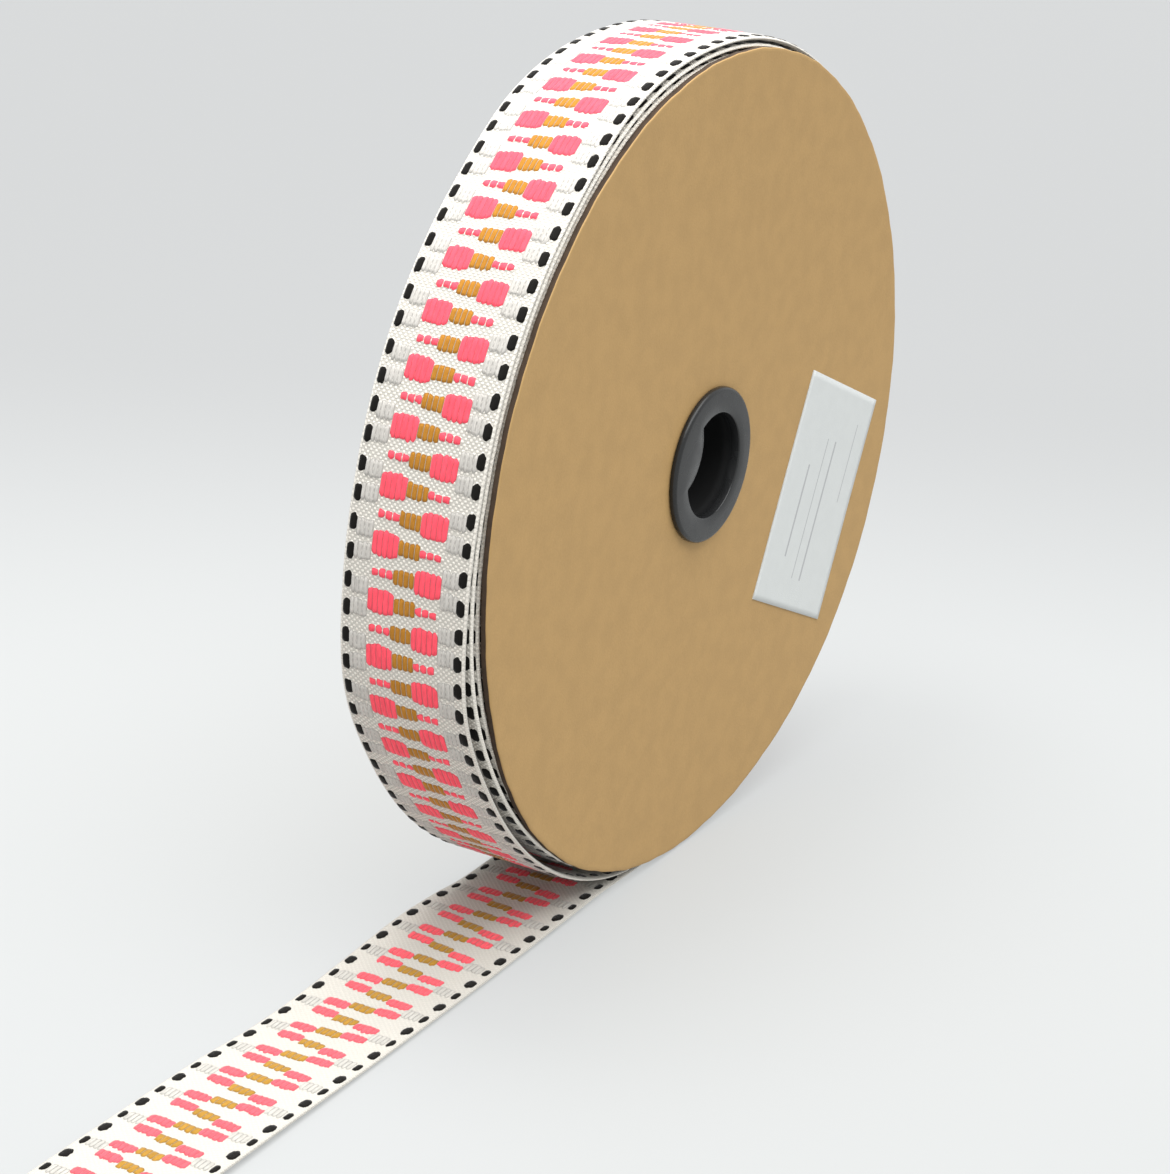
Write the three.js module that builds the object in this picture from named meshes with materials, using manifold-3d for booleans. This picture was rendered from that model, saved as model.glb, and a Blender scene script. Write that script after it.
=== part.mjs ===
// Reel of patterned cotton webbing, standing on its rim with one end unrolled.
// Millimetres, +Z up. The reel's axis runs along Y, the disc with the sticker faces -Y, and the
// loose end runs out to -X. The origin is on the floor under the axis, at mid width.
// The wound form is one solid: its outer turn is slack at the lower left and stands off the rest.

import * as THREE from 'three';
import { mergeVertices } from 'three/addons/utils/BufferGeometryUtils.js';
import Module from 'manifold-3d';

const wasm = await Module();
wasm.setup();

// Webbing
const TAPE_WIDTH = 40;
const TAPE_THICKNESS = 1.7;
const SELVAGE_WIDTH = 1.4;
const SELVAGE_THICKNESS = 1.2;

// Fit between neighbouring pieces
const GAP = 0.3;

// Reel
const AXIS_HEIGHT = 125.6;
const DISC_RADIUS = 125;
const FAR_DISC_RADIUS = 121;
const DISC_THICKNESS = 2;
const BORE_RADIUS = 16;
const TUBE_WALL = 2.5;
const FLANGE_RADIUS = 23.7;
const FLANGE_THICKNESS = 2;
const FLANGE_CHAMFER = 1.2;
const SEAT_RADIUS = BORE_RADIUS + TUBE_WALL + GAP;

// Drive tab that stands into each mouth of the bore: a lobe of the flange
const TAB_ANGLE = 157;
const TAB_CENTRE_RADIUS = 22.5;
const TAB_LOBE_RADIUS = 13;
const TAB_DEPTH = 4;

// Sticker on the near disc
const STICKER_WIDTH = 52;
const STICKER_LENGTH = 74;
const STICKER_THICKNESS = 0.3;
const STICKER_CENTRE_RADIUS = 81.7;
const STICKER_ANGLE = -22.6;
const STICKER_TURN = -24.5;

// Loose end on the floor
const TAIL_REACH = 290;
const TAIL_DRIFT_START = 30;
const TAIL_DRIFT = THREE.MathUtils.degToRad(0.4);
const TAIL_WAVES = [
  { from_axis: 112, half_length: 46, rise: 1.3 },
  { from_axis: 205, half_length: 38, rise: 0.7 },
];
const TAIL_STEP = 6;

// Outer face of each outer turn, measured from the axis, at angles round from the bottom in the
// winding's direction: 90 is the side away from the loose end, 180 the top, 270 the slack side
const TURNS = [
  { angle: 0, first: 126.0, second: 124.0, third: 121.9 },
  { angle: 90, first: 126.2, second: 124.1, third: 122.0 },
  { angle: 180, first: 126.3, second: 124.2, third: 122.1 },
  { angle: 204, first: 127.8, second: 124.9, third: 122.5 },
  { angle: 221, first: 125.6, second: 123.5, third: 121.4 },
  { angle: 258, first: 126.7, second: 124.5, third: 122.1 },
  { angle: 273, first: 129.7, second: 126.8, third: 123.8 },
  { angle: 287, first: 133.4, second: 128.4, third: 125.2 },
  { angle: 301, first: 131.8, second: 127.3, third: 124.6 },
  { angle: 322, first: 130.2, second: 125.8, third: 123.4 },
  { angle: 342, first: 128.0, second: 124.9, third: 122.6 },
  { angle: 360, first: 124.0, second: 121.9, third: 119.8 },
];
const FLAT_SPOT_Z = -(AXIS_HEIGHT - TAPE_THICKNESS - GAP);
const JOIN_ANGLE = 15;
const TURN_STEP = 3;
const SLACK_LEAST = 0.35;

// Trimmed edge of the cardboard: how far it stands out of true, by angle from +X towards +Z
const DISC_TRIM = [
  { angle: 0, out: 0.3 },
  { angle: 90, out: -0.2 },
  { angle: 150, out: -0.3 },
  { angle: 182, out: -0.5 },
  { angle: 220, out: 0.4 },
  { angle: 280, out: -0.4 },
  { angle: 325, out: 0.6 },
  { angle: 360, out: 0.3 },
];
const DISC_STEP = 3.75;
const ROUND_STEPS = 48;

const COTTON = { color: 0xe4ded2, roughness: 0.95, metalness: 0 };
const CARDBOARD = { color: 0xb9986b, roughness: 0.9, metalness: 0 };
const BLACK_PLASTIC = { color: 0x26272a, roughness: 0.3, metalness: 0 };
const PAPER = { color: 0xe9eaea, roughness: 0.6, metalness: 0 };

const radians = THREE.MathUtils.degToRad;

// A smooth curve through the rows of a short table
function along(rows, angle, column) {
  const last = rows.length - 1;
  let i = rows.findIndex((row, n) => n < last && angle <= rows[n + 1].angle);
  if (i < 0) i = last - 1;
  const before = rows[Math.max(i - 1, 0)];
  const from = rows[i];
  const to = rows[i + 1];
  const after = rows[Math.min(i + 2, last)];
  const span = to.angle - from.angle;
  const t = (angle - from.angle) / span;
  const slopeFrom = (to[column] - before[column]) / (to.angle - before.angle) * span;
  const slopeTo = (after[column] - from[column]) / (after.angle - from.angle) * span;
  const t2 = t * t;
  const t3 = t2 * t;
  return (2 * t3 - 3 * t2 + 1) * from[column] + (t3 - 2 * t2 + t) * slopeFrom
    + (3 * t2 - 2 * t3) * to[column] + (t3 - t2) * slopeTo;
}

// A point at an angle round from the bottom, in the reel's own plane, no lower than the floor given
function woundPoint(angle, radius, lowest) {
  const x = radius * Math.sin(radians(angle));
  const z = -radius * Math.cos(radians(angle));
  return new THREE.Vector2(x, Math.max(z, lowest));
}

function circlePath(radius, steps) {
  const points = [];
  for (let n = 0; n < steps; n += 1) {
    const a = 2 * Math.PI * n / steps;
    points.push(new THREE.Vector2(radius * Math.cos(a), radius * Math.sin(a)));
  }
  return points;
}

// A flat outline with holes, made thick along Y and centred there
function plate(outline, holes, thickness) {
  const shape = new THREE.Shape(outline);
  for (const hole of holes) shape.holes.push(new THREE.Path(hole));
  const geometry = new THREE.ExtrudeGeometry(shape, { depth: thickness, bevelEnabled: false });
  geometry.translate(0, 0, -thickness / 2);
  geometry.rotateX(Math.PI / 2);
  return geometry;
}

function toSolid(geometry) {
  const bare = geometry.clone();
  bare.deleteAttribute('normal');
  bare.deleteAttribute('uv');
  const merged = mergeVertices(bare, 1e-4);
  return new wasm.Manifold(new wasm.Mesh({
    numProp: 3,
    vertProperties: new Float32Array(merged.attributes.position.array),
    triVerts: new Uint32Array(merged.index.array),
  }));
}

function toGeometry(solid) {
  const mesh = solid.getMesh();
  const geometry = new THREE.BufferGeometry();
  geometry.setAttribute('position', new THREE.BufferAttribute(mesh.vertProperties, 3));
  geometry.setIndex(new THREE.BufferAttribute(mesh.triVerts, 1));
  geometry.computeVertexNormals();
  return geometry;
}

function named(name, geometry, finish) {
  const mesh = new THREE.Mesh(geometry, new THREE.MeshStandardMaterial(finish));
  mesh.name = name;
  return mesh;
}

// The slack between one turn and the next: crescents right through the width of the roll
function slackBetween(outer, inner) {
  const crescents = [];
  let over = [];
  let under = [];
  for (let angle = 180; angle <= 360; angle += TURN_STEP) {
    const top = along(TURNS, angle, outer) - TAPE_THICKNESS;
    const bottom = along(TURNS, angle, inner);
    if (top - bottom > SLACK_LEAST) {
      over.push(woundPoint(angle, top, FLAT_SPOT_Z));
      under.push(woundPoint(angle, bottom, FLAT_SPOT_Z));
    } else {
      if (over.length > 1) crescents.push(over.concat(under.reverse()));
      over = [];
      under = [];
    }
  }
  return crescents;
}

// The roll: from the join at the bottom round the outer turn, then in over the loose end's own start
function woundRoll() {
  const outline = [];
  for (let angle = JOIN_ANGLE; angle < 360; angle += TURN_STEP) {
    outline.push(woundPoint(angle, along(TURNS, angle, 'first'), FLAT_SPOT_Z));
  }
  for (let angle = 0; angle <= JOIN_ANGLE; angle += TURN_STEP) {
    outline.push(woundPoint(angle, along(TURNS, angle, 'second'), FLAT_SPOT_Z));
  }
  const holes = [
    circlePath(SEAT_RADIUS, ROUND_STEPS),
    ...slackBetween('first', 'second'),
    ...slackBetween('second', 'third'),
  ];
  return plate(outline, holes, TAPE_WIDTH);
}

// Height of the loose end's underside above the floor
function tailLift(x) {
  let lift = 0;
  for (const wave of TAIL_WAVES) {
    const across = (-x - wave.from_axis) / wave.half_length;
    if (Math.abs(across) < 1) lift += wave.rise * (1 + Math.cos(Math.PI * across)) / 2;
  }
  return lift;
}

// Stations of the loose end: its underside, the way up from it, and its drift to one side
function tailStations() {
  const stations = [];
  for (let x = -TAIL_REACH; x < -1; x += TAIL_STEP) {
    const drift = -Math.tan(TAIL_DRIFT) * Math.max(-x - TAIL_DRIFT_START, 0);
    stations.push({ x, z: tailLift(x) - AXIS_HEIGHT, side: drift, up: new THREE.Vector2(0, 1) });
  }
  const joinGap = THREE.MathUtils.radToDeg(GAP / TURNS[0].first);
  const curl = JOIN_ANGLE / TURN_STEP;
  for (let n = 0; n <= curl; n += 1) {
    const angle = n * (JOIN_ANGLE - joinGap) / curl;
    const foot = woundPoint(angle, along(TURNS, angle, 'first'), -AXIS_HEIGHT);
    const flat = foot.y <= -AXIS_HEIGHT;
    const up = flat ? new THREE.Vector2(0, 1) : foot.clone().normalize().negate();
    stations.push({ x: foot.x, z: foot.y, side: 0, up });
  }
  return stations;
}

// The loose end: a sheet with thinner selvages, lofted from station to station
function looseEnd() {
  const half = TAPE_WIDTH / 2;
  const section = [
    { y: -half, rise: 0 },
    { y: -half, rise: SELVAGE_THICKNESS },
    { y: -half + SELVAGE_WIDTH, rise: TAPE_THICKNESS },
    { y: half - SELVAGE_WIDTH, rise: TAPE_THICKNESS },
    { y: half, rise: SELVAGE_THICKNESS },
    { y: half, rise: 0 },
  ];
  const stations = tailStations();
  const corners = section.length;
  const positions = [];
  const faces = [];
  for (const station of stations) {
    for (const point of section) {
      positions.push(station.x + station.up.x * point.rise);
      positions.push(point.y + station.side);
      positions.push(station.z + station.up.y * point.rise);
    }
  }
  for (let n = 0; n + 1 < stations.length; n += 1) {
    for (let m = 0; m < corners; m += 1) {
      const a = n * corners + m;
      const b = n * corners + (m + 1) % corners;
      faces.push(a, b + corners, b, a, a + corners, b + corners);
    }
  }
  const start = (stations.length - 1) * corners;
  for (let m = 1; m + 1 < corners; m += 1) {
    faces.push(0, m, m + 1);
    faces.push(start, start + m + 1, start + m);
  }
  const geometry = new THREE.BufferGeometry();
  geometry.setAttribute('position', new THREE.Float32BufferAttribute(positions, 3));
  geometry.setIndex(faces);
  geometry.computeVertexNormals();
  return geometry;
}

// A cardboard side disc, cut a little out of round. The far one is smaller: the webbing stands past it
function sideDisc(discRadius) {
  const outline = [];
  for (let angle = 0; angle < 360; angle += DISC_STEP) {
    const radius = discRadius + along(DISC_TRIM, angle, 'out');
    outline.push(new THREE.Vector2(
      radius * Math.cos(radians(angle)),
      radius * Math.sin(radians(angle)),
    ));
  }
  return plate(outline, [circlePath(SEAT_RADIUS, ROUND_STEPS)], DISC_THICKNESS);
}

// One half of the hub: a flange outside the disc, a tube in to mid width and a tab in its mouth
function hubHalf(tabAngle) {
  const discOut = TAPE_WIDTH / 2 + GAP + DISC_THICKNESS;
  const inner = discOut + GAP;
  const face = inner + FLANGE_THICKNESS;
  const tube = BORE_RADIUS + TUBE_WALL;
  const profile = [
    [BORE_RADIUS, GAP / 2],
    [tube, GAP / 2],
    [tube, inner],
    [FLANGE_RADIUS, inner],
    [FLANGE_RADIUS, face - FLANGE_CHAMFER],
    [FLANGE_RADIUS - FLANGE_CHAMFER, face],
    [BORE_RADIUS, face],
    [BORE_RADIUS, GAP / 2],
  ];
  const ring = new THREE.LatheGeometry(profile.map(([r, y]) => new THREE.Vector2(r, y)), ROUND_STEPS);
  const lobe = plate(circlePath(TAB_LOBE_RADIUS, ROUND_STEPS), [], TAB_DEPTH);
  lobe.translate(
    TAB_CENTRE_RADIUS * Math.cos(radians(tabAngle)),
    face - TAB_DEPTH / 2,
    TAB_CENTRE_RADIUS * Math.sin(radians(tabAngle)),
  );
  const mouth = plate(circlePath(BORE_RADIUS + TUBE_WALL / 2, ROUND_STEPS), [], 2 * face);
  const tab = toSolid(lobe).intersect(toSolid(mouth));
  return toGeometry(toSolid(ring).add(tab));
}

const reel = new THREE.Group();
reel.position.z = AXIS_HEIGHT;

reel.add(named('webbing_roll', woundRoll(), COTTON));
reel.add(named('loose_end', looseEnd(), COTTON));

const discMiddle = TAPE_WIDTH / 2 + GAP + DISC_THICKNESS / 2;
const discFace = TAPE_WIDTH / 2 + GAP + DISC_THICKNESS;
for (const [side, way, radius] of [['near', -1, DISC_RADIUS], ['far', 1, FAR_DISC_RADIUS]]) {
  const disc = named(`${side}_disc`, sideDisc(radius), CARDBOARD);
  disc.position.y = way * discMiddle;
  reel.add(disc);
  const hub = named(`${side}_hub`, hubHalf(way * TAB_ANGLE), BLACK_PLASTIC);
  hub.rotation.x = way < 0 ? Math.PI : 0;
  reel.add(hub);
}

const sticker = named(
  'size_sticker',
  new THREE.BoxGeometry(STICKER_WIDTH, STICKER_THICKNESS, STICKER_LENGTH),
  PAPER,
);
sticker.position.set(
  STICKER_CENTRE_RADIUS * Math.cos(radians(STICKER_ANGLE)),
  -(discFace + GAP + STICKER_THICKNESS / 2),
  STICKER_CENTRE_RADIUS * Math.sin(radians(STICKER_ANGLE)),
);
sticker.rotation.y = -radians(STICKER_TURN);
reel.add(sticker);

export default reel;
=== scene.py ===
"""Reel of patterned cotton webbing, standing on its rim with one end unrolled over a pale floor.

Lengths are in millimetres in the tables and functions below, and in metres in the property groups
and in every mesh. The reel's axis runs along Y, the disc with the sticker faces -Y, and the loose
end runs out to -X. Angles round the reel start at the bottom and follow the winding: 90 is the +X
side, 180 the top and 270 the slack side. Across the webbing, minus is the side of the far disc.
"""

import math

import bpy
import numpy as np
from mathutils import Matrix, Vector


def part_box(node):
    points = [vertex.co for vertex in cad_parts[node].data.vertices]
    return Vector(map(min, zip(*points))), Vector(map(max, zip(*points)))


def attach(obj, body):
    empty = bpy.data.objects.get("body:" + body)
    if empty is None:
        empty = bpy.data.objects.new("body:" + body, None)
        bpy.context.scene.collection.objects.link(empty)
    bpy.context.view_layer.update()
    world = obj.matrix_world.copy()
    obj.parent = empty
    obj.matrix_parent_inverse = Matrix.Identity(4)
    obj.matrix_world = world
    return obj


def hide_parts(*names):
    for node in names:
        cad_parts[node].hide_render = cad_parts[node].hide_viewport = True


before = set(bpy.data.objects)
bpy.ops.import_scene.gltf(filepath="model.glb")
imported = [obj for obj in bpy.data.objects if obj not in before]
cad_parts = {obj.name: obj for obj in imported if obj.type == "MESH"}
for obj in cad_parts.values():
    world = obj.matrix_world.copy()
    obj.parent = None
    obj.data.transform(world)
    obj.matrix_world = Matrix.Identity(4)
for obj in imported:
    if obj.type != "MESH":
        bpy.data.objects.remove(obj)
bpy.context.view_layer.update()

bl_info = {
    "name": "Webbing reel",
    "version": (1, 0, 0),
    "blender": (4, 5, 0),
    "location": "View3D > Sidebar > Reel",
    "description": "Reel of patterned cotton webbing with one end unrolled",
    "category": "Add Mesh",
}

MM = 0.001

# Places that the frame gives
NEAR_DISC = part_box("near_disc")
NEAR_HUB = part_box("near_hub")
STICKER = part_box("size_sticker")
LOOSE_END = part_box("loose_end")
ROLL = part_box("webbing_roll")
AXIS_HEIGHT = (NEAR_HUB[0][2] + NEAR_HUB[1][2]) / 2 / MM
HALF_WIDTH = ROLL[1][1] / MM
TAIL_REACH = -LOOSE_END[0][0] / MM

WHOLE_TURN = 360.0
SIDES = {"near": -1, "far": 1}


def table(columns, rows):
    """The rows of a short table, each with its values under the columns' names"""
    return [dict(zip(columns, row)) for row in rows]


# Outer face of each outer turn, from the axis, as the frame's solid has it
TURNS = table(("angle", "first", "second", "third"), [
    (0, 126.0, 124.0, 121.9),
    (90, 126.2, 124.1, 122.0),
    (180, 126.3, 124.2, 122.1),
    (204, 127.8, 124.9, 122.5),
    (221, 125.6, 123.5, 121.4),
    (258, 126.7, 124.5, 122.1),
    (273, 129.7, 126.8, 123.8),
    (287, 133.4, 128.4, 125.2),
    (301, 131.8, 127.3, 124.6),
    (322, 130.2, 125.8, 123.4),
    (342, 128.0, 124.9, 122.6),
    (360, 124.0, 121.9, 119.8),
])
# Height of the wound webbing where it stands on the loose end
FLAT_SPOT = 2.0
# Where the loose end turns up into the outer turn, and what is left open there
JOIN_ANGLE = 15.0
JOIN_GAP = 0.05
# Pitch of the inner turns, the tube they are wound on, and how much of its slack each one passes in
TURN_PITCH = 2.1
CORE_RADIUS = 21.0
SLACK_FADE = 0.5

# How far the far side of the webbing has sunk towards the axis, past the smaller far disc
FAR_SINK = table(("angle", "in"), [
    (0, 0.0),
    (140, 0.0),
    (180, 1.4),
    (205, 1.9),
    (225, 1.5),
    (250, 0.4),
    (265, 0.0),
    (360, 0.0),
])
# Radius from which turns sink, and how much further out they do so in full
SINK_RADIUS = 90.0
SINK_GROWTH = 30.0

# How far the weave has crept on along the winding, at each edge
WEAVE_CREEP = table(("angle", "near", "far"), [
    (0, 2.55, 2.55),
    (20, 2.55, 2.55),
    (120, 2.2, 3.5),
    (180, 2.0, 3.8),
    (205, 1.7, 3.3),
    (217, 1.3, 2.3),
    (256, 1.0, 0.6),
    (285, 0.0, 0.0),
    (360, 0.0, 0.0),
])

# Loose end, by distance from the axis: how far each edge stands off the floor, how far it has moved
# towards -Y, how far the far edge has slid on towards the cut end, and how far the weave is drawn back
TAIL_MOVES = ("near_lift", "far_lift", "near_move", "far_move", "far_slide")
TAIL_SHAPE = table(("from_axis", *TAIL_MOVES, "creep"), [
    (0, 0.0, 0.0, 0.0, 0.0, 0.0, 0.0),
    (28, 0.5, 0.4, 0.0, 0.3, 0.0, 0.0),
    (48, 1.2, 0.7, 0.4, 1.2, 0.2, 0.0),
    (64, 1.0, 0.9, 0.7, 1.5, 0.4, 0.0),
    (78, 0.8, 1.7, 0.9, 1.2, 0.0, 0.0),
    (98, 0.4, 2.3, 1.1, 1.5, 0.0, 0.0),
    (124, 0.3, 1.2, 1.4, 2.3, 0.6, 0.0),
    (150, 0.3, 0.3, 1.5, 3.2, 1.6, 0.0),
    (172, 0.3, 0.2, 1.5, 3.3, 1.6, 0.0),
    (196, 0.7, 1.0, 1.5, 2.8, 0.8, 0.4),
    (230, 1.0, 1.2, 1.6, 2.8, 0.3, 1.4),
    (260, 1.1, 1.5, 1.8, 3.0, 0.0, 2.2),
    (290, 0.9, 1.1, 1.9, 3.1, 0.0, 3.0),
])

# Weave chart. Rows of blocks repeat along the webbing, each the mirror of the one before.
# In a side lane, across is from mid width and along from the row whose pink block is on that side.
# In the middle lane, across is towards that side and along from the nearest row.
# Round is how far a float's sides fall short of its tip, bow how far the outer floats fall short
# of the middle ones, and gap what shows between two floats.
CHART_COLUMNS = ("yarn", "lane", "across", "width", "floats", "along", "length", "round", "bow", "gap")
FRONT_CHART = table(CHART_COLUMNS, [
    ("grey", "side", 14.24, 5.5, 4, 3.2, 5.3, 0.7, 0.3, 0.12),
    ("pink", "side", 7.22, 8.5, 5, 0.0, 7.4, 0.45, 0.9, 0.0),
    ("pink", "side", 7.2, 7.0, 3, 8.15, 2.5, 0.7, 0.1, 0.25),
    ("gold", "middle", 0.42, 6.8, 4, 0.0, 4.7, 0.5, 0.3, 0.12),
    ("black", "side", 18.0, 2.6, 1, 4.07, 4.8, 1.3, 0.0, 0.0),
])
BACK_CHART = table(CHART_COLUMNS, [
    ("grey", "side", 14.0, 5.4, 4, 8.15, 5.0, 0.9, 0.3, 0.0),
    ("pink", "side", 7.65, 7.8, 5, 5.2, 4.3, 0.45, 0.7, 0.0),
    ("gold", "middle", 0.0, 7.6, 4, 4.07, 4.0, 0.45, 0.4, 0.05),
    ("black", "side", 17.8, 2.9, 1, 0.0, 4.8, 1.9, 0.0, 0.0),
    ("black", "side", 18.0, 2.0, 1, 8.15, 4.2, 1.6, 0.0, 0.0),
])
ROW_PITCH = 8.15
ROW_START = 0.8
# Angle round the outer turn from which the chart's rows are counted
ROWS_FROM_ANGLE = 245.0
PICKS_PER_ROW = 10
FLOAT_PITCH = 1.7
BOW_POWER = 4

# Depths under the tops of the floats, and how high a float's flank stands against its crown
GROUND_DEPTH = 0.32
SELVAGE_DEPTH = 0.35
EDGE_DEPTH = 0.65
FLANK_SHARE = 0.45
SELVAGE_LINE = 19.3

# Mesh columns from mid width out to one edge: two to a float, then the ribs, then the black dashes
MIDDLE_COLUMNS = FLOAT_PITCH / 4 + FLOAT_PITCH / 2 * np.arange(14)
RIB_COLUMNS = np.linspace(11.8, 17.0, 9)
DASH_COLUMNS = [17.4, 17.8, 18.2, 18.6, 19.0, SELVAGE_LINE, 19.7, HALF_WIDTH]
COARSE_COLUMNS = HALF_WIDTH * np.array([-1.0, -0.965, -0.9, 0.9, 0.965, 1.0])

# Board warp, outwards from the roll at the rim, by angle from +X towards +Z
DISC_WARP = table(("angle", "out"), [
    (0, 1.57),
    (45, 0.89),
    (90, 0.83),
    (135, 0.3),
    (180, 0.9),
    (225, 0.0),
    (270, 0.0),
    (315, 1.4),
    (360, 1.57),
])
# How far the near board's rim stands out past its radius, by the same angle
DISC_TRIM = table(("angle", "out"), [
    (0, 0.3),
    (45, -0.6),
    (90, -2.1),
    (115, -2.7),
    (138, -3.0),
    (160, -1.6),
    (182, -0.5),
    (220, 0.4),
    (280, -0.4),
    (325, 0.6),
    (360, 0.3),
])
# Share of that warp and trim that each board has
BOARD_SHARE = {"near": 1.0, "far": 0.3}
# Small waves of the cut round the rim
RIM_WAVES = table(("count", "height"), [
    (23, 0.1),
    (57, 0.08),
    (101, 0.05),
])

# Camera's aim point over the floor, and how far it is set off to its right and up
AIM_HEIGHT = 128.75
SET_OFF_RIGHT = -17.26
SET_OFF_UP = -44.41
SENSOR_WIDTH = 36.0
FLOOR_REACH = 12000.0
KEY_FROM = Vector((-0.05, -0.12, 1.0))
TOP_LIGHT_AT = Vector((-30.0, 120.0, 610.0))
SURROUND_TONE = (0.97, 0.99, 1.0)


class WebbingSettings(bpy.types.PropertyGroup):
    """Sizes and yarn colours of the webbing"""

    thickness: bpy.props.FloatProperty(
        name="Thickness", description="Webbing thickness over its floats", default=0.0017,
        unit="LENGTH", subtype="DISTANCE")
    station_step: bpy.props.FloatProperty(
        name="Mesh step", description="Length of webbing between two rows of mesh points",
        default=0.00056, unit="LENGTH", subtype="DISTANCE")
    ground: bpy.props.FloatVectorProperty(
        name="Ground", description="Off-white ground yarn", default=(0.76, 0.72, 0.65),
        size=3, subtype="COLOR")
    pink: bpy.props.FloatVectorProperty(
        name="Pink", description="Coral pink yarn of the blocks", default=(1.0, 0.098, 0.140),
        size=3, subtype="COLOR")
    gold: bpy.props.FloatVectorProperty(
        name="Gold", description="Golden brown yarn of the middle blocks", default=(0.44, 0.19, 0.024),
        size=3, subtype="COLOR")
    grey: bpy.props.FloatVectorProperty(
        name="Grey", description="Pale grey yarn of the ribs", default=(0.53, 0.505, 0.468),
        size=3, subtype="COLOR")
    back_ground: bpy.props.FloatVectorProperty(
        name="Back ground", description="Ground of the webbing's back", default=(0.50, 0.478, 0.43),
        size=3, subtype="COLOR")
    back_gold: bpy.props.FloatVectorProperty(
        name="Back gold", description="Middle blocks of the webbing's back", default=(0.37, 0.195, 0.028),
        size=3, subtype="COLOR")
    back_pink: bpy.props.FloatVectorProperty(
        name="Back pink", description="Pink bars of the webbing's back", default=(0.84, 0.1, 0.125),
        size=3, subtype="COLOR")
    back_grey: bpy.props.FloatVectorProperty(
        name="Back grey", description="Faint ribs of the webbing's back", default=(0.46, 0.442, 0.402),
        size=3, subtype="COLOR")
    black: bpy.props.FloatVectorProperty(
        name="Black", description="Black yarn of the edge dashes", default=(0.007, 0.006, 0.005),
        size=3, subtype="COLOR")


class ReelSettings(bpy.types.PropertyGroup):
    """Sizes and colours of the discs, hub and sticker"""

    disc_radius: bpy.props.FloatProperty(
        name="Disc radius", description="Radius of the cardboard side discs", default=0.125,
        unit="LENGTH", subtype="DISTANCE")
    far_disc_radius: bpy.props.FloatProperty(
        name="Far disc radius", description="Radius of the disc that the webbing hides", default=0.121,
        unit="LENGTH", subtype="DISTANCE")
    board: bpy.props.FloatVectorProperty(
        name="Board", description="Brown kraft board", default=(0.41, 0.253, 0.095),
        size=3, subtype="COLOR")
    # Board edge colour: the cut edge's own darker brown, darkened further with painted shade
    rim_tone_and_shade: bpy.props.FloatVectorProperty(
        name="Board edge", description="Cut edge of the board", default=(0.05, 0.03, 0.017),
        size=3, subtype="COLOR")
    bore_radius: bpy.props.FloatProperty(
        name="Bore radius", description="Radius of the hub's bore", default=0.016,
        unit="LENGTH", subtype="DISTANCE")
    plastic: bpy.props.FloatVectorProperty(
        name="Hub", description="Black hub plastic", default=(0.015, 0.0155, 0.016),
        size=3, subtype="COLOR")
    paper: bpy.props.FloatVectorProperty(
        name="Sticker", description="White sticker paper", default=(0.578, 0.594, 0.584),
        size=3, subtype="COLOR")
    rule: bpy.props.FloatVectorProperty(
        name="Sticker rules", description="Plain grey rules on the sticker", default=(0.38, 0.38, 0.39),
        size=3, subtype="COLOR")


class StudioSettings(bpy.types.PropertyGroup):
    """Camera, floor and lights"""

    azimuth: bpy.props.FloatProperty(
        name="Azimuth", description="Camera's angle round the reel, from -Y towards +X",
        default=math.radians(-60.843), unit="ROTATION", subtype="ANGLE")
    elevation: bpy.props.FloatProperty(
        name="Elevation", description="Camera's angle above the floor",
        default=math.radians(21.169), unit="ROTATION", subtype="ANGLE")
    roll: bpy.props.FloatProperty(
        name="Roll", description="Camera's turn about its own line of sight",
        default=math.radians(3.306), unit="ROTATION", subtype="ANGLE")
    distance: bpy.props.FloatProperty(
        name="Distance", description="Camera's distance from the point it is set out from",
        default=0.9646, unit="LENGTH", subtype="DISTANCE")
    lens: bpy.props.FloatProperty(
        name="Focal length", description="Focal length on a 36 mm sensor",
        default=98.87, unit="CAMERA", subtype="DISTANCE_CAMERA")
    floor: bpy.props.FloatVectorProperty(
        name="Floor", description="Pale studio paper", default=(0.1655, 0.169, 0.1685),
        size=3, subtype="COLOR")
    # Painted shade: the floor darkens towards this tone further behind the reel, where light falls off
    far_painted_shade: bpy.props.FloatVectorProperty(
        name="Far floor", description="Studio paper further back", default=(0.134, 0.136, 0.1365),
        size=3, subtype="COLOR")
    glow: bpy.props.FloatProperty(
        name="Floor glow", description="Light that comes through the floor, against its own tone",
        default=2.6)
    key: bpy.props.FloatProperty(
        name="Key light", description="Strength of the soft light overhead", default=4.1)
    key_spread: bpy.props.FloatProperty(
        name="Key spread", description="How wide the soft light is", default=math.radians(70),
        unit="ROTATION", subtype="ANGLE")
    top: bpy.props.FloatProperty(
        name="Top light", description="Power of the small light over the reel's top", default=1.5,
        unit="POWER")
    top_size: bpy.props.FloatProperty(
        name="Top light size", description="Side of the square top light", default=0.2,
        unit="LENGTH", subtype="DISTANCE")
    surround: bpy.props.FloatProperty(
        name="Surround", description="Strength of the white surround", default=0.92)


# Shader wiring


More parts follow.
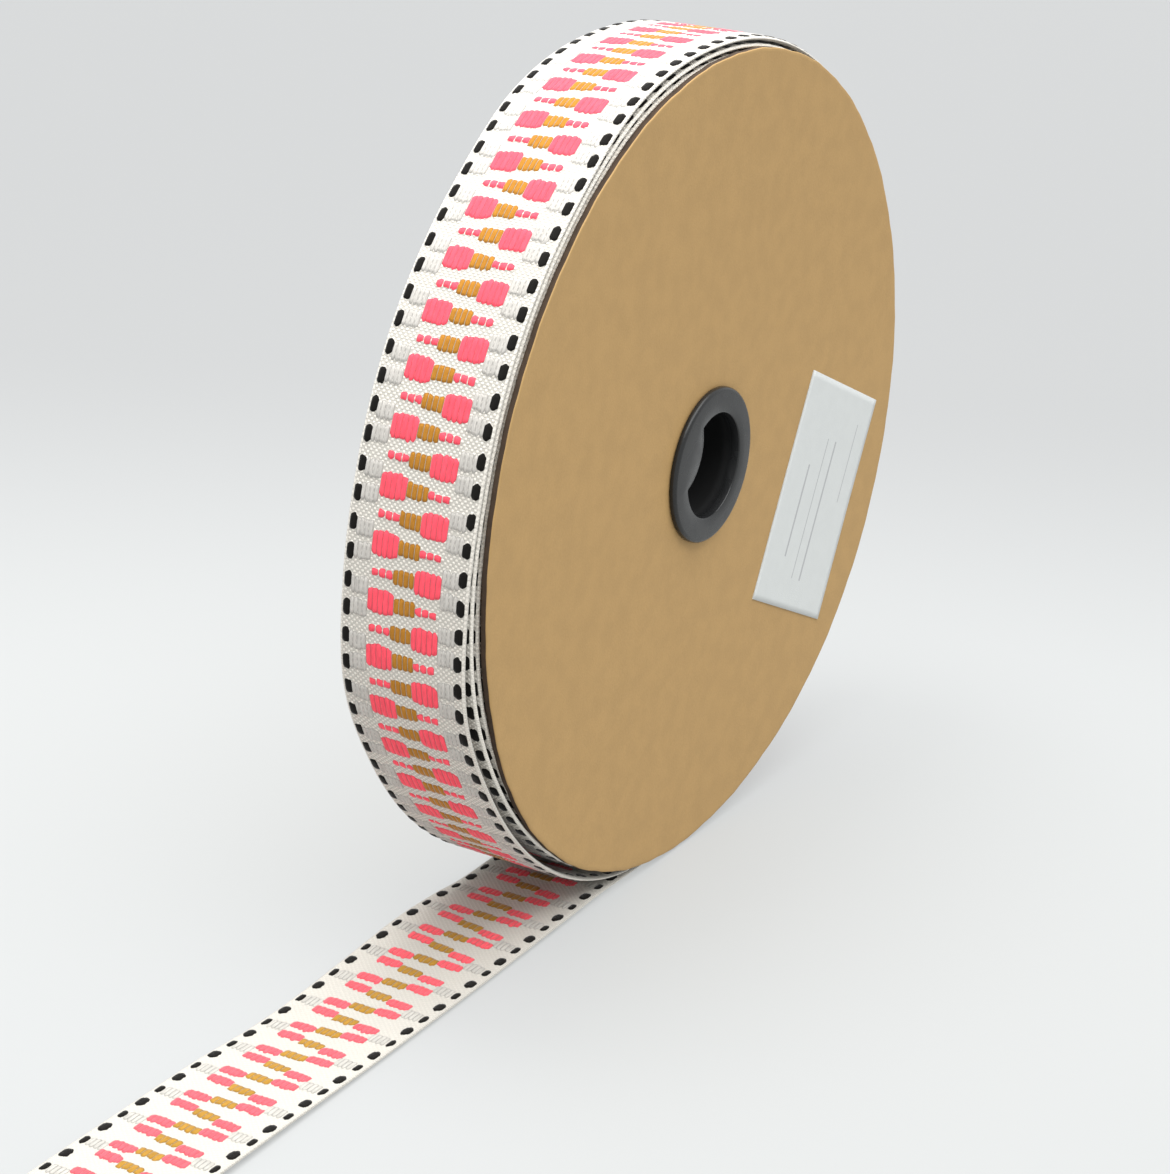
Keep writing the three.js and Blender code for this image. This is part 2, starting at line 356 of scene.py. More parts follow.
class Wiring:
    """Adds nodes to one tree, where an input takes a plain value or another node's output"""

    def __init__(self, tree):
        self.tree = tree

    def feed(self, socket, value):
        if isinstance(value, bpy.types.NodeSocket):
            self.tree.links.new(value, socket)
        else:
            socket.default_value = value

    def add(self, kind, inputs, **settings):
        node = self.tree.nodes.new(kind)
        for name, value in settings.items():
            setattr(node, name, value)
        for key, value in inputs.items():
            self.feed(node.inputs[key], value)
        return node

    def math(self, operation, *values):
        return self.add("ShaderNodeMath", dict(enumerate(values)), operation=operation).outputs[0]

    def plus(self, first, second):
        return self.math("ADD", first, second)

    def minus(self, first, second):
        return self.math("SUBTRACT", first, second)

    def times(self, first, second):
        return self.math("MULTIPLY", first, second)

    def ramp(self, value, low, high, start=0.0, end=1.0):
        """The value carried from low..high to start..end, eased and held at its ends"""
        inputs = {"Value": value, "From Min": low, "From Max": high, "To Min": start, "To Max": end}
        return self.add("ShaderNodeMapRange", inputs, interpolation_type="SMOOTHSTEP").outputs["Result"]

    def vary(self, noise, low, high, spread=0.25):
        """A noise carried to low..high, from the spread on both sides of its middle"""
        return self.ramp(noise, 0.5 - spread, 0.5 + spread, low, high)

    def mix(self, factor, first, second):
        node = self.add("ShaderNodeMix", {}, data_type="RGBA")
        self.feed(node.inputs[0], factor)
        self.feed(node.inputs[6], first)
        self.feed(node.inputs[7], second)
        return node.outputs[2]

    def shade(self, colour, value):
        inputs = {0: colour, "Scale": value}
        return self.add("ShaderNodeVectorMath", inputs, operation="SCALE").outputs[0]

    def vector(self, x, y, z):
        return self.add("ShaderNodeCombineXYZ", {"X": x, "Y": y, "Z": z}).outputs[0]

    def noise(self, vector, scale, detail=2.0):
        inputs = {"Vector": vector, "Scale": scale, "Detail": detail}
        return self.add("ShaderNodeTexNoise", inputs).outputs["Fac"]

    def group(self, tree, inputs):
        return self.add("ShaderNodeGroup", inputs, node_tree=tree).outputs


def node_group(name, inputs, outputs):
    """A new group with named number sockets, its wiring, and what comes in and goes out"""
    tree = bpy.data.node_groups.new(name, "ShaderNodeTree")
    for label in inputs:
        tree.interface.new_socket(label, in_out="INPUT", socket_type="NodeSocketFloat")
    for label in outputs:
        tree.interface.new_socket(label, in_out="OUTPUT", socket_type="NodeSocketFloat")
    enter = tree.nodes.new("NodeGroupInput").outputs
    leave = tree.nodes.new("NodeGroupOutput").inputs
    return tree, Wiring(tree), enter, leave


def rgba(colour):
    return (*colour, 1.0)


def new_material(name):
    """A material with one Principled shader, and its wiring"""
    material = bpy.data.materials.new(name)
    material.use_nodes = True
    material.node_tree.nodes.clear()
    wire = Wiring(material.node_tree)
    shader = wire.add("ShaderNodeBsdfPrincipled", {})
    wire.add("ShaderNodeOutputMaterial", {"Surface": shader.outputs["BSDF"]})
    return material, wire, shader


def bumped(wire, height):
    """A normal from a height in millimetres"""
    inputs = {"Height": height, "Distance": MM, "Strength": 1.0}
    return wire.add("ShaderNodeBump", inputs).outputs["Normal"]


def position_mm(wire):
    """The point's place in the frame, in millimetres"""
    place = wire.add("ShaderNodeNewGeometry", {}).outputs["Position"]
    return wire.shade(place, 1 / MM)


# Weave, as shader groups


def chart_place_group():
    """Finds a point's place in the side lane and in the middle lane of the chart"""
    tree, wire, enter, leave = node_group(
        "Chart place", ["Along", "Across"],
        ["Side across", "Side along", "Middle across", "Middle along"])
    pitch = ROW_PITCH
    wobble_scale, wobble_width = 0.35, 0.7
    across = enter["Across"]
    wobble = wire.noise(wire.vector(enter["Along"], across, 0.0), wobble_scale)
    wobble = wire.times(wire.minus(wobble, 0.5), wobble_width)
    along = wire.plus(wire.minus(enter["Along"], ROW_START), wobble)
    near = wire.math("GREATER_THAN", across, 0.0)
    shifted = wire.math("MULTIPLY_ADD", near, pitch, along)
    side = wire.math("ABSOLUTE", wire.math("WRAP", shifted, pitch, -pitch))
    pair = wire.math("ABSOLUTE", wire.math("WRAP", along, pitch, -pitch))
    mirrored = wire.math("GREATER_THAN", pair, pitch / 2)
    sign = wire.math("MULTIPLY_ADD", mirrored, -2.0, 1.0)
    row = wire.math("ABSOLUTE", wire.math("WRAP", along, pitch / 2, -pitch / 2))
    wire.feed(leave["Side across"], wire.math("ABSOLUTE", across))
    wire.feed(leave["Side along"], side)
    wire.feed(leave["Middle across"], wire.times(across, sign))
    wire.feed(leave["Middle along"], row)
    return tree


def float_block_group():
    """A block of lengthwise floats: where it is, and the crown of each float"""
    place = ["Across", "Along", "Unevenness"]
    block = ["Centre", "Width", "Floats", "Middle", "Length", "Round", "Bow", "Gap"]
    tree, wire, enter, leave = node_group("Float block", place + block, ["Mask", "Crown"])
    tip_blur, side_blur, gap_blur = (-0.05, 0.12), (0.0, 0.1), (-0.05, 0.08)
    end_slope, end_share = 0.9, 0.35
    offset = wire.math("DIVIDE", wire.minus(enter["Across"], enter["Centre"]), enter["Width"])
    count = wire.times(wire.plus(offset, 0.5), enter["Floats"])
    lane = wire.math("MULTIPLY_ADD", wire.math("FRACT", count), 2.0, -1.0)
    hollow = wire.minus(1.0, wire.math("POWER", lane, 2.0))
    crown = wire.math("SQRT", wire.math("MAXIMUM", hollow, 0.0))
    reach = wire.math("ABSOLUTE", wire.minus(enter["Along"], enter["Middle"]))
    left = wire.math("MULTIPLY_ADD", enter["Length"], 0.5, wire.times(reach, -1.0))
    shy = wire.times(wire.minus(crown, 1.0), enter["Round"])
    outer = wire.math("POWER", wire.times(wire.math("ABSOLUTE", offset), 2.0), BOW_POWER)
    bowed = wire.times(outer, enter["Bow"])
    left = wire.minus(wire.plus(wire.plus(left, shy), enter["Unevenness"]), bowed)
    on_length = wire.ramp(left, *tip_blur)
    inset = wire.minus(0.5, wire.math("ABSOLUTE", offset))
    on_width = wire.ramp(wire.times(inset, enter["Width"]), *side_blur)
    float_width = wire.math("DIVIDE", enter["Width"], enter["Floats"])
    beside = wire.times(wire.minus(1.0, wire.math("ABSOLUTE", lane)), float_width)
    on_float = wire.ramp(wire.minus(beside, enter["Gap"]), *gap_blur)
    ends = wire.ramp(left, 0.0, end_slope, end_share, 1.0)
    mask = wire.times(wire.times(on_length, on_width), on_float)
    wire.feed(leave["Mask"], mask)
    wire.feed(leave["Crown"], wire.times(crown, ends))
    return tree


def plain_weave_group():
    """The ground's small raised crossings, set like a chessboard"""
    tree, wire, enter, leave = node_group("Plain weave", ["Along", "Across"], ["Height"])
    fullness = 0.42
    column = wire.math("COSINE", wire.times(enter["Across"], math.tau / FLOAT_PITCH))
    pick = wire.math("COSINE", wire.times(enter["Along"], math.pi * PICKS_PER_ROW / ROW_PITCH))
    bead = wire.math("MAXIMUM", wire.times(column, pick), 0.0)
    wire.feed(leave["Height"], wire.math("POWER", bead, fullness))
    return tree


def yarn_streak_group():
    """Fine streaks along the yarn, and a slow change from one float to the next"""
    tree, wire, enter, leave = node_group("Yarn streak", ["Along", "Across"], ["Streak", "Change"])
    scales = {"fine": (0.45, 3.2, 0.0), "slow": (0.17, 0.6, 7.0)}
    places = {}
    for name, (along_scale, across_scale, layer) in scales.items():
        along = wire.times(enter["Along"], along_scale)
        across = wire.times(enter["Across"], across_scale)
        places[name] = wire.vector(along, across, layer)
    wire.feed(leave["Streak"], wire.noise(places["fine"], 1.0, 3.0))
    wire.feed(leave["Change"], wire.noise(places["slow"], 1.0, 1.0))
    return tree


def charted_face(wire, groups, place, weave, chart, colours, beads):
    """Colour and height of one face of the webbing, from its chart"""
    # Painted shade: the ground darkens between its raised crossings, and each float darkens down its
    # flanks
    bead_top, crown_top, flank_painted_shade = 0.75, 0.8, 0.6
    crown_height, streak_height = 0.26, 0.16
    grain = wire.group(groups["plain"], weave)["Height"]
    yarn = wire.group(groups["streak"], weave)
    uneven = wire.vary(yarn["Change"], -0.25, 0.25)
    streak_tone = wire.times(wire.vary(yarn["Streak"], 0.84, 1.08), wire.vary(yarn["Change"], 0.92, 1.06))
    # Painted shade between the ground's raised crossings
    bead_painted_shade = wire.ramp(grain, 0.0, bead_top, beads["gap_painted_shade"], 1.0)
    # Painted light: the ground of the turns under the outer one is lightened here
    colour = wire.shade(colours["ground"], wire.times(bead_painted_shade, beads["painted_light"]))
    height = wire.times(grain, beads["height"])
    for block in chart:
        lane = "Side" if block["lane"] == "side" else "Middle"
        found = wire.group(groups["block"], {
            "Across": place[f"{lane} across"],
            "Along": place[f"{lane} along"],
            "Unevenness": uneven,
            "Centre": block["across"],
            "Width": block["width"],
            "Floats": block["floats"],
            "Middle": block["along"],
            "Length": block["length"],
            "Round": block["round"],
            "Bow": block["bow"],
            "Gap": block["gap"],
        })
        # Painted shade down the flanks of each float
        crown_painted_shade = wire.ramp(found["Crown"], 0.0, crown_top, flank_painted_shade, 1.0)
        dyed = wire.shade(colours[block["yarn"]], wire.times(crown_painted_shade, streak_tone))
        colour = wire.mix(found["Mask"], colour, dyed)
        streaks = wire.times(yarn["Streak"], streak_height)
        raised = wire.math("MULTIPLY_ADD", found["Crown"], crown_height, streaks)
        lift = wire.minus(raised, height)
        height = wire.math("MULTIPLY_ADD", found["Mask"], lift, height)
    return colour, height


def webbing_material(settings):
    """Cotton webbing, placed by its weave_place attribute: along, across, and 0 for the back, 1 for the
    front and 2 for turns that are wound under others, with painted light on their ground and selvage"""
    material, wire, shader = new_material("cotton_webbing")
    groups = {
        "place": chart_place_group(),
        "block": float_block_group(),
        "plain": plain_weave_group(),
        "streak": yarn_streak_group(),
    }
    place_node = wire.add("ShaderNodeAttribute", {}, attribute_name="weave_place")
    parts = wire.add("ShaderNodeSeparateXYZ", {"Vector": place_node.outputs["Vector"]}).outputs
    weave = {"Along": parts["X"], "Across": parts["Y"]}
    place = wire.group(groups["place"], weave)
    colours = {name: getattr(settings, name) for name in ("ground", "pink", "gold", "grey", "black")}
    # Painted light: the ground and selvage of turns wound under the outer one are lightened by this
    # factor, against the shade between the turns
    inner_painted_light, selvage_blur, fuzz_height = 1.28, 0.1, 0.08
    painted_light = wire.ramp(parts["Z"], 1.0, 2.0, 1.0, inner_painted_light)
    # Painted shade between the front's crossings darkens them to 0.68 of the ground
    beads = {"gap_painted_shade": 0.68, "height": 0.24, "painted_light": painted_light}
    front, front_height = charted_face(wire, groups, place, weave, FRONT_CHART, colours, beads)
    back_colours = {"black": settings.black}
    for name in ("ground", "pink", "gold", "grey"):
        back_colours[name] = getattr(settings, f"back_{name}")
    # Painted shade between the back's crossings darkens them only to 0.93 of the ground
    beads = {"gap_painted_shade": 0.93, "height": 0.1, "painted_light": 1.0}
    back, back_height = charted_face(wire, groups, place, weave, BACK_CHART, back_colours, beads)
    on_front = wire.math("GREATER_THAN", parts["Z"], 0.5)
    colour = wire.mix(on_front, back, front)
    height = wire.add("ShaderNodeMix", {0: on_front, 2: back_height, 3: front_height}).outputs[0]
    selvage = wire.ramp(place["Side across"], SELVAGE_LINE - selvage_blur, SELVAGE_LINE + selvage_blur)
    # Painted shade in stripes between the selvage's picks, lifted with painted light on the turns under
    # the outer one
    picks = wire.math("SINE", wire.times(parts["X"], math.tau * PICKS_PER_ROW / ROW_PITCH))
    pick_painted_shade_and_light = wire.times(wire.ramp(picks, -1.0, 1.0, 0.84, 1.0), painted_light)
    edge_ground = wire.mix(on_front, rgba(settings.back_ground), rgba(settings.ground))
    colour = wire.mix(selvage, colour, wire.shade(edge_ground, pick_painted_shade_and_light))
    fuzz = wire.noise(position_mm(wire), 3.5, 3.0)
    colour = wire.shade(colour, wire.vary(fuzz, 0.92, 1.05, 0.3))
    wire.feed(shader.inputs["Base Color"], colour)
    wire.feed(shader.inputs["Normal"], bumped(wire, wire.math("MULTIPLY_ADD", fuzz, fuzz_height, height)))
    shader.inputs["Roughness"].default_value = 0.92
    shader.inputs["Specular IOR Level"].default_value = 0.15
    shader.inputs["Sheen Weight"].default_value = 0.3
    shader.inputs["Sheen Roughness"].default_value = 0.3
    return material


# Other materials


def paper_fibre_group():
    """Mottle and fine fibres of paper and board"""
    tree, wire, enter, leave = node_group("Paper fibre", ["Size"], ["Mottle", "Fibre"])
    mottle_scale, fibre_scale = 0.14, 1.6
    place = position_mm(wire)
    wire.feed(leave["Mottle"], wire.noise(place, wire.math("DIVIDE", mottle_scale, enter["Size"]), 4.0))
    wire.feed(leave["Fibre"], wire.noise(place, wire.math("DIVIDE", fibre_scale, enter["Size"]), 5.0))
    return tree


def paper_material(name, colour, fibre, size, contrast, roughness):
    """Paper or board: a base colour with mottle, fibres and a faint tooth"""
    material, wire, shader = new_material(name)
    spread, tooth = 0.2, 0.06
    grain = wire.group(fibre, {"Size": size})
    mottle = wire.vary(grain["Mottle"], 1.0 - contrast, 1.0 + contrast, spread)
    fibres = wire.vary(grain["Fibre"], 1.0 - contrast, 1.0 + contrast / 2, spread)
    tone = wire.times(mottle, fibres)
    wire.feed(shader.inputs["Base Color"], wire.shade(colour, tone))
    wire.feed(shader.inputs["Normal"], bumped(wire, wire.times(grain["Fibre"], tooth)))
    shader.inputs["Roughness"].default_value = roughness
    return material, wire, shader, tone


def plastic_material(settings):
    """Glossy black plastic, duller down inside the bore and darkened there with painted shade"""
    material, wire, shader = new_material("hub_plastic")
    # Painted shade: the bore darkens to a tenth of the plastic's colour from 23.6 mm to 18 mm from mid
    # width
    bore_light, bore_dark, dark_share = 23.6, 18.0, 0.1
    place = position_mm(wire)
    parts = wire.add("ShaderNodeSeparateXYZ", {"Vector": place}).outputs
    bore_shade = wire.ramp(wire.math("ABSOLUTE", parts["Y"]), bore_light, bore_dark)
    smear = wire.vary(wire.noise(place, 0.12, 3.0), 0.2, 0.34, 0.2)
    dark = rgba(dark_share * channel for channel in settings.plastic)
    # Painted shade inside the bore
    wire.feed(shader.inputs["Base Color"], wire.mix(bore_shade, rgba(settings.plastic), dark))
    wire.feed(shader.inputs["Roughness"], wire.math("MAXIMUM", smear, bore_shade))
    wire.feed(shader.inputs["Normal"], bumped(wire, wire.times(wire.noise(place, 0.5), 0.02)))
    shader.inputs["Specular IOR Level"].default_value = 0.36
    return material


def floor_material(settings, away):
    """Pale paper lit from below too, with painted shade that makes it a little darker further behind the
    reel
    """
    material, wire, shader = new_material("studio_paper")
    # Painted shade, from 60 mm to 480 mm behind the reel along the camera's line of sight
    change_start, change_end = 60.0, 480.0
    inputs = {0: position_mm(wire), 1: away}
    behind = wire.add("ShaderNodeVectorMath", inputs, operation="DOT_PRODUCT").outputs["Value"]
    far = wire.ramp(behind, change_start, change_end)
    tone = wire.mix(far, rgba(settings.floor), rgba(settings.far_painted_shade))
    wire.feed(shader.inputs["Base Color"], tone)
    wire.feed(shader.inputs["Emission Color"], tone)
    shader.inputs["Emission Strength"].default_value = settings.glow
    shader.inputs["Roughness"].default_value = 0.6
    shader.inputs["Specular IOR Level"].default_value = 0.2
    return material


# Meshes


def make_piece(name, points, faces, material):
    """A smooth mesh object from points in millimetres"""
    mesh = bpy.data.meshes.new(name)
    mesh.from_pydata((np.asarray(points) * MM).tolist(), [], faces)
    mesh.polygons.foreach_set("use_smooth", [True] * len(mesh.polygons))
    mesh.materials.append(material)
    mesh.update()
    piece = bpy.data.objects.new(name, mesh)
    bpy.context.scene.collection.objects.link(piece)
    return piece


def dress(piece, slot, *nodes):
    """The piece rides on the reel and stands for the nodes. The slot is not used."""
    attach(piece, "root")
    if nodes:
        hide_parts(*nodes)


def grid_faces(rows, columns, closed_rows=False, closed_columns=False):
    """Quads over a grid of points held row after row"""
    row = np.arange(rows if closed_rows else rows - 1)
    column = np.arange(columns if closed_columns else columns - 1)
    row, column = np.meshgrid(row, column, indexing="ij")
    next_row = (row + 1) % rows
    next_column = (column + 1) % columns
    corners = [
        row * columns + column,
        next_row * columns + column,
        next_row * columns + next_column,
        row * columns + next_column,
    ]
    return np.stack(corners, axis=-1).reshape(-1, 4).tolist()


def turned_piece(name, radius, stand, turn, way, material):
    """A closed mesh round the reel's axis: a ring to each row of radius and of distance from mid width,
    at the turns given, where way is -1 for the near side and 1 for the far side"""
    points = np.stack([
        radius * np.cos(turn),
        way * stand,
        AXIS_HEIGHT + radius * np.sin(turn),
    ], axis=-1)
    faces = grid_faces(*radius.shape, closed_rows=True, closed_columns=True)
    if way > 0:
        faces = [face[::-1] for face in faces]
    return make_piece(name, points.reshape(-1, 3), faces, material)


def through(rows, angle, column, key="angle"):
    """A smooth curve through the rows of a short table, as the frame's solids have it"""
    knots = np.array([row[key] for row in rows], float)
    values = np.array([row[column] for row in rows], float)
    before = np.maximum(np.arange(len(rows)) - 1, 0)
    after = np.minimum(np.arange(len(rows)) + 1, len(rows) - 1)
    slopes = (values[after] - values[before]) / (knots[after] - knots[before])
    at = np.clip(np.searchsorted(knots, angle, side="right") - 1, 0, len(rows) - 2)
    span = knots[at + 1] - knots[at]
    t = (np.asarray(angle) - knots[at]) / span
    t2 = t * t
    t3 = t2 * t
    start = (2 * t3 - 3 * t2 + 1) * values[at] + (t3 - 2 * t2 + t) * slopes[at] * span
    end = (3 * t2 - 2 * t3) * values[at + 1] + (t3 - t2) * slopes[at + 1] * span
    return start + end


def wound_points(angle, radius, lowest):
    """Points of the webbing's front face at angles round the reel, no lower than the height given"""
    turn = np.radians(angle)
    height = np.maximum(AXIS_HEIGHT - radius * np.cos(turn), lowest)
    return np.stack([radius * np.sin(turn), height], axis=-1)


def run_lengths(points):
    """Length along a line at each of its points"""
    steps = np.linalg.norm(np.diff(points, axis=0), axis=1)
    return np.concatenate([[0.0], np.cumsum(steps)])


def even_stations(points, step):
    """The line's points again at even steps, with how far along each is"""
    length = run_lengths(points)
    count = int(round(length[-1] / step)) + 1
    along = np.linspace(0.0, length[-1], count)
    even = np.stack([np.interp(along, length, points[:, n]) for n in range(2)], axis=-1)
    return even, along


def face_normals(points):
    """Outward directions of the front face: to the right of the way the webbing runs"""
    way = np.gradient(points, axis=0)
    way /= np.linalg.norm(way, axis=1)[:, None]
    return np.stack([way[:, 1], -way[:, 0]], axis=-1)


def wrapped(value, half):
    """The value carried round into -half..half"""
    return (value + half) % (2 * half) - half


def lanes(along, across):
    """Places in the side lane and in the middle lane, as the shader's chart place has them"""
    along = along - ROW_START
    side = np.abs(wrapped(along + ROW_PITCH * (across > 0), ROW_PITCH))
    sign = np.where(np.abs(wrapped(along, ROW_PITCH)) > ROW_PITCH / 2, -1.0, 1.0)
    row = np.abs(wrapped(along, ROW_PITCH / 2))
    return {"side": (np.abs(across), side), "middle": (across * sign, row)}


def relief(chart, along, across):
    """Height of one face under the tops of its floats, in millimetres and never above them"""
    shortest, end_power = 0.01, 4
    places = lanes(along, across)
    height = np.full(np.broadcast(along, across).shape, -GROUND_DEPTH)
    for block in chart:
        place_across, place_along = places[block["lane"]]
        offset = (place_across - block["across"]) / block["width"]
        lane = 2 * ((offset + 0.5) * block["floats"] % 1.0) - 1
        crown = np.sqrt(np.maximum(1 - lane ** 2, 0))
        bowed = block["bow"] * np.abs(2 * offset) ** BOW_POWER
        half = block["length"] / 2 - block["round"] * (1 - crown) - bowed
        reach = np.abs(place_along - block["along"]) / np.maximum(half, shortest)
        ends = np.sqrt(np.maximum(1 - np.clip(reach, 0, 1) ** end_power, 0))
        inside = (np.abs(offset) < 0.5) & (reach < 1)
        share = (FLANK_SHARE + (1 - FLANK_SHARE) * crown) * ends
        height = np.where(inside, np.maximum(height, GROUND_DEPTH * (share - 1)), height)
    beyond = np.abs(across) - SELVAGE_LINE
    slope = np.clip(beyond / (HALF_WIDTH - SELVAGE_LINE), 0, 1)
    selvage = -SELVAGE_DEPTH - (EDGE_DEPTH - SELVAGE_DEPTH) * slope ** 2
    return np.where(beyond >= 0, selvage, height)


def fine_columns():
    """Places across the whole webbing, in step with its floats"""
    half = np.concatenate([MIDDLE_COLUMNS, RIB_COLUMNS, DASH_COLUMNS])
    return np.concatenate([-half[::-1], half])


def near_and_far_share(place):
    """How much of the near edge and of the far edge a place has, by its distance towards the near one"""
    near = 0.5 + place / (2 * HALF_WIDTH)
    return near, 1 - near


def webbing_ribbon(name, points, weave, dense, thickness, material, reshape, faces_kind=(1, 0)):
    """A length of webbing with both its faces: points is the front face's mid line in X and Z, and
    weave is where along the weave each point lies at the near edge and at the far edge"""
    normals = face_normals(points)
    front = fine_columns() if dense == "front" else COARSE_COLUMNS
    back = fine_columns() if dense == "back" else COARSE_COLUMNS
    across = np.concatenate([front, back[::-1]])
    near, far = near_and_far_share(across)
    grid_along = weave["near"][:, None] * near + weave["far"][:, None] * far
    grid_across = np.broadcast_to(across, grid_along.shape)
    front_height = relief(FRONT_CHART, grid_along, grid_across)
    back_height = -thickness - relief(BACK_CHART, grid_along, grid_across)
    is_front = np.arange(len(across)) < len(front)
    height = np.where(is_front, front_height, back_height)
    xz = points[:, None, :] + normals[:, None, :] * height[..., None]
    corners = reshape(np.stack([xz[..., 0], -grid_across, xz[..., 1]], axis=-1))
    rows, columns = height.shape
    faces = grid_faces(rows, columns, closed_columns=True)
    faces.append(list(range(columns)))
    faces.append(list(range((rows - 1) * columns, rows * columns))[::-1])
    piece = make_piece(name, corners.reshape(-1, 3), faces, material)
    kind = np.broadcast_to(np.where(is_front, faces_kind[0], faces_kind[1]), height.shape)
    place = np.stack([grid_along, grid_across, kind], axis=-1)
    store_vectors(piece, "weave_place", place.reshape(-1, 3))
    return piece


def store_vectors(piece, name, values):
    """Keeps a vector at each point of the mesh"""
    attribute = piece.data.attributes.new(name, "FLOAT_VECTOR", "POINT")
    attribute.data.foreach_set("vector", np.ascontiguousarray(values, dtype=np.float32).ravel())


def fine_angles(first, last):
    """Angles in degrees at fine steps, from the first to the last"""
    step = 0.1
    return np.arange(first, last + step / 10, step)


def outer_line():
    """Front face of the outer turn, from where it leaves the floor round to its tuck at the bottom"""
    angle = fine_angles(JOIN_ANGLE, WHOLE_TURN)
    return angle, wound_points(angle, through(TURNS, angle, "first"), FLAT_SPOT)


def sunk_on_far_side(corners):
    """The wound webbing with its far side a little closer to the axis"""
    x, z = corners[..., 0], corners[..., 2] - AXIS_HEIGHT
    angle = np.degrees(np.arctan2(x, -z)) % WHOLE_TURN
    radius = np.hypot(x, z)
    outer = np.clip((radius - SINK_RADIUS) / SINK_GROWTH, 0, 1)
    near, far = near_and_far_share(-corners[..., 1])
    kept = 1 - through(FAR_SINK, angle, "in") * np.clip(far, 0, 1) ** 2 * outer / radius
    sunk = corners.copy()
    sunk[..., 0] = x * kept
    sunk[..., 2] = AXIS_HEIGHT + z * kept
    return sunk


def tail_line():
    """Underside of the loose end on the bare floor, from its cut end in to the foot of the outer turn"""
    step = 0.25
    x = np.arange(-TAIL_REACH, -step / 5, step)
    angle = fine_angles(0.0, JOIN_ANGLE)
    foot = wound_points(angle, through(TURNS, angle, "first"), 0.0)
    line = np.concatenate([np.stack([x, np.zeros_like(x)], axis=-1), foot])
    length = run_lengths(line)
    return line[length < length[-1] - JOIN_GAP]


def weave_start():
    """Where along the weave the outer turn starts, so that the chart's rows fall as they should"""
    angle = fine_angles(JOIN_ANGLE, ROWS_FROM_ANGLE)
    line = wound_points(angle, through(TURNS, angle, "first"), FLAT_SPOT)
    return -run_lengths(line)[-1]


# Operators


def camera_axes(studio):
    """Right, up and back directions of the camera"""
    azimuth, elevation, roll = studio.azimuth, studio.elevation, studio.roll
    right = Vector((math.cos(azimuth), math.sin(azimuth), 0))
    back = Vector((math.sin(azimuth) * math.cos(elevation), -math.cos(azimuth) * math.cos(elevation),
                   math.sin(elevation)))
    up = back.cross(right)
    turned_right = math.cos(roll) * right + math.sin(roll) * up
    turned_up = -math.sin(roll) * right + math.cos(roll) * up
    return turned_right, turned_up, back


class REEL_OT_studio(bpy.types.Operator):
    """Adds the camera, the pale floor and the soft lights"""

    bl_idname = "reel.studio"
    bl_label = "Studio"

    def execute(self, context):
        studio = context.scene.reel_studio
        right, up, back = camera_axes(studio)
        data = bpy.data.cameras.new("camera")
        data.sensor_width = SENSOR_WIDTH
        data.lens = studio.lens
        data.clip_start, data.clip_end = 0.01, 50.0
        camera = bpy.data.objects.new("camera", data)
        context.scene.collection.objects.link(camera)
        aim = Vector((0, 0, AIM_HEIGHT * MM))
        place = aim + back * studio.distance + right * SET_OFF_RIGHT * MM + up * SET_OFF_UP * MM
        axes = Matrix((right, up, back)).transposed()
        camera.matrix_world = Matrix.Translation(place) @ axes.to_4x4()
        context.scene.camera = camera

        reach = FLOOR_REACH
        corners = [(-reach, -reach, 0), (reach, -reach, 0), (reach, reach, 0), (-reach, reach, 0)]
        away = Vector((-back.x, -back.y, 0)).normalized()
        floor = make_piece("studio_floor", corners, [[0, 1, 2, 3]], floor_material(studio, away))

        world = bpy.data.worlds.new("studio")
        world.use_nodes = True
        background = world.node_tree.nodes["Background"]
        background.inputs["Color"].default_value = rgba(SURROUND_TONE)
        background.inputs["Strength"].default_value = studio.surround
        context.scene.world = world
        self.add_key(context, studio)
        self.add_top_light(context, studio)
        context.scene.view_settings.view_transform = "Standard"
        return {"FINISHED"}

    def add_key(self, context, studio):
        """A very wide, soft light from overhead, a little towards the near disc"""
        data = bpy.data.lights.new("key_light", "SUN")
        data.energy = studio.key
        data.angle = studio.key_spread
        light = bpy.data.objects.new("key_light", data)
        light.rotation_euler = KEY_FROM.to_track_quat("Z", "Y").to_euler()
        light.location = KEY_FROM
        context.scene.collection.objects.link(light)

    def add_top_light(self, context, studio):
        """A small square light behind the near disc's plane, facing straight down"""
        data = bpy.data.lights.new("top_light", "AREA")
        data.energy = studio.top
        data.size = studio.top_size
        light = bpy.data.objects.new("top_light", data)
        light.location = TOP_LIGHT_AT * MM
        context.scene.collection.objects.link(light)


def webbing(context):
    """The webbing's material, made once"""
    return bpy.data.materials.get("cotton_webbing") or webbing_material(context.scene.reel_webbing)


class REEL_OT_outer_turn(bpy.types.Operator):
    """Adds the outer turn of webbing with its slack stretch"""

    bl_idname = "reel.outer_turn"
    bl_label = "Outer turn"

    def execute(self, context):
        settings = context.scene.reel_webbing
        angle, line = outer_line()
        before = run_lengths(line)
        line, along = even_stations(line, settings.station_step / MM)
        angle = np.interp(along, before, angle)
        weave = {edge: along + weave_start() - through(WEAVE_CREEP, angle, edge) for edge in SIDES}
        piece = webbing_ribbon(
            "outer_turn", line, weave, "front", settings.thickness / MM, webbing(context),
            sunk_on_far_side)
        dress(piece, "webbing", "webbing_roll")
        return {"FINISHED"}


